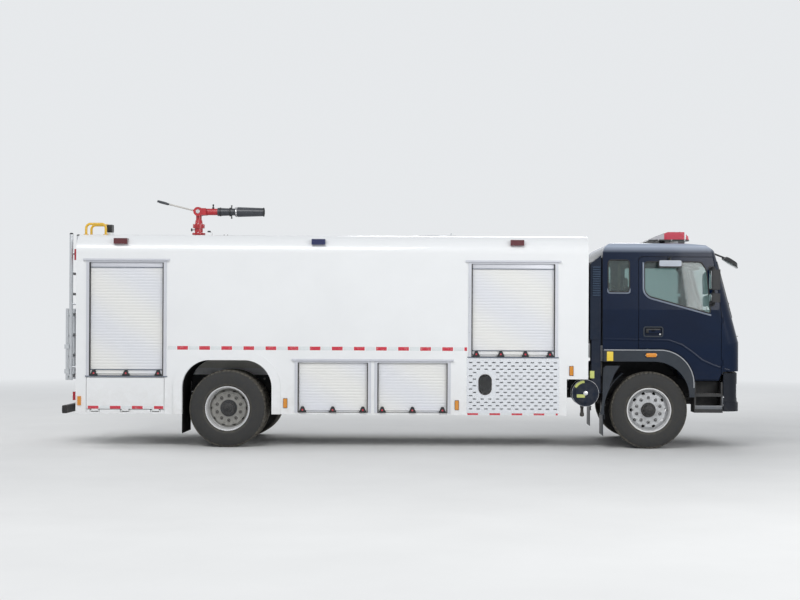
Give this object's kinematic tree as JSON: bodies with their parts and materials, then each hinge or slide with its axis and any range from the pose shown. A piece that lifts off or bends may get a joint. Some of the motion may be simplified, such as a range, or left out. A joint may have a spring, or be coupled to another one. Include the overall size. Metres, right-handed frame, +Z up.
{
  "type": "fire truck",
  "caption": "Two-axle airport fire truck: tilting dark cab with opening doors, white equipment body with roller shutters, rear ladder, roof monitor and light bar.",
  "frame": {"origin": "on the ground, under the middle of the truck's length and width", "axes": "+X forward, +Y to the truck's left, +Z up"},
  "size_m": [9.32, 3.12, 3.4504],
  "materials": {
    "bare_aluminium": "satin",
    "black_plastic": "matte",
    "chassis_paint": "satin",
    "dark_paint": "gloss",
    "frame_aluminium": "satin",
    "grey_plastic": "matte",
    "lamp_glass": "gloss",
    "red_lens": "gloss",
    "red_paint": "gloss",
    "rim_grey": "satin",
    "rim_silver": "satin",
    "seat_fabric": "matte",
    "tank_plastic": "matte",
    "tyre_rubber": "matte",
    "white_paint": "gloss",
    "window_glass": "gloss",
    "yellow_paint": "gloss"
  },
  "bodies": {
    "chassis": {"frame_rails": "chassis_paint", "engine_block": "chassis_paint", "drive_line": "chassis_paint", "rear_axle": "chassis_paint", "front_axle": "chassis_paint", "leaf_springs": "chassis_paint", "body_side_right": "white_paint", "body_side_left": "white_paint", "body_roof": "white_paint", "body_end_walls": "white_paint", "body_floor": "white_paint", "water_tank": "tank_plastic", "shutter_frames": "frame_aluminium", "shutters": "bare_aluminium", "perforated_panels": "bare_aluminium", "rear_mudguards": "black_plastic", "rear_bumper": "chassis_paint", "tail_lamps": "red_lens", "body_lamps": "red_lens", "ladder": "bare_aluminium", "grab_rails": "yellow_paint", "monitor_riser": "red_paint", "air_cleaner": "black_plastic", "front_mudguards": "grey_plastic", "cab_mounts": "chassis_paint", "front_bumper": "black_plastic", "headlamps": "lamp_glass", "cab_steps": "black_plastic"},
    "cab": {"cab_shell": "dark_paint", "cab_flares": "grey_plastic", "grille_panel": "black_plastic", "cab_glass": "window_glass", "cab_mirrors": "black_plastic", "light_bar": "red_lens", "seats": "seat_fabric", "dashboard": "black_plastic"},
    "manhole_lid": {"manhole_lid": "bare_aluminium"},
    "monitor_swivel": {"monitor_swivel": "red_paint"},
    "monitor_barrel": {"monitor_barrel": "red_paint"},
    "ladder_lower": {"ladder_lower": "bare_aluminium"},
    "knuckle_right": {"knuckle_right": "chassis_paint"},
    "wheel_front_right": {"rim_front_right": "rim_silver", "tyre_front_right": "tyre_rubber"},
    "wheel_rear_right": {"rim_rear_right": "rim_grey", "tyres_rear_right": "tyre_rubber"},
    "flap_right": {"step_flap_right": "white_paint"},
    "door_right": {"door_right": "dark_paint", "door_glass_right": "window_glass", "mirror_right": "black_plastic"},
    "knuckle_left": {"knuckle_left": "chassis_paint"},
    "wheel_front_left": {"rim_front_left": "rim_silver", "tyre_front_left": "tyre_rubber"},
    "wheel_rear_left": {"rim_rear_left": "rim_grey", "tyres_rear_left": "tyre_rubber"},
    "flap_left": {"step_flap_left": "white_paint"},
    "door_left": {"door_left": "dark_paint", "door_glass_left": "window_glass", "mirror_left": "black_plastic"}
  },
  "joints": [
    {"name": "steer_left", "type": "hinge", "parent": "chassis", "child": "knuckle_left", "pos_m": [3.339, 0.825, 0.527], "axis": [0, 0, 1], "range_deg": [-35, 35]},
    {"name": "spin_front_left", "type": "hinge", "parent": "knuckle_left", "child": "wheel_front_left", "pos_m": [3.339, 1.015, 0.527], "axis": [0, 1, 0], "continuous": true},
    {"name": "spin_rear_left", "type": "hinge", "parent": "chassis", "child": "wheel_rear_left", "pos_m": [-2.408, 0.915, 0.527], "axis": [0, 1, 0], "continuous": true},
    {"name": "steer_right", "type": "hinge", "parent": "chassis", "child": "knuckle_right", "pos_m": [3.339, -0.825, 0.527], "axis": [0, 0, 1], "range_deg": [-35, 35]},
    {"name": "spin_front_right", "type": "hinge", "parent": "knuckle_right", "child": "wheel_front_right", "pos_m": [3.339, -1.015, 0.527], "axis": [0, 1, 0], "continuous": true},
    {"name": "spin_rear_right", "type": "hinge", "parent": "chassis", "child": "wheel_rear_right", "pos_m": [-2.408, -0.915, 0.527], "axis": [0, 1, 0], "continuous": true},
    {"name": "cab_tilt", "type": "hinge", "parent": "chassis", "child": "cab", "pos_m": [4.5, 0, 0.9], "axis": [0, 1, 0], "range_deg": [0, 50]},
    {"name": "door_left_hinge", "type": "hinge", "parent": "cab", "child": "door_left", "pos_m": [4.318, 1.212, 1.47], "axis": [0, 0, -1], "range_deg": [0, 75]},
    {"name": "door_right_hinge", "type": "hinge", "parent": "cab", "child": "door_right", "pos_m": [4.318, -1.212, 1.47], "axis": [0, 0, 1], "range_deg": [0, 75]},
    {"name": "flap_left_hinge", "type": "hinge", "parent": "chassis", "child": "flap_left", "pos_m": [-3.79, 1.231, 0.498], "axis": [-1, 0, 0], "range_deg": [0, 90]},
    {"name": "flap_right_hinge", "type": "hinge", "parent": "chassis", "child": "flap_right", "pos_m": [-3.79, -1.231, 0.498], "axis": [1, 0, 0], "range_deg": [0, 90]},
    {"name": "lid_hinge", "type": "hinge", "parent": "chassis", "child": "manhole_lid", "pos_m": [0.107, 0, 2.949], "axis": [0, -1, 0], "range_deg": [0, 100]},
    {"name": "monitor_turn", "type": "hinge", "parent": "chassis", "child": "monitor_swivel", "pos_m": [-3.013, 0, 3.081], "axis": [0, 0, 1], "range_deg": [-170, 170]},
    {"name": "monitor_elevation", "type": "hinge", "parent": "monitor_swivel", "child": "monitor_barrel", "pos_m": [-3.013, 0, 3.289], "axis": [0, -1, 0], "range_deg": [-15, 45]},
    {"name": "ladder_slide", "type": "slide", "parent": "chassis", "child": "ladder_lower", "axis": [0, 0, 1], "range_m": [-0.32, 0]}
  ],
  "couplings": [
    {"joint": "steer_right", "follows": "steer_left", "ratio": 1}
  ]
}
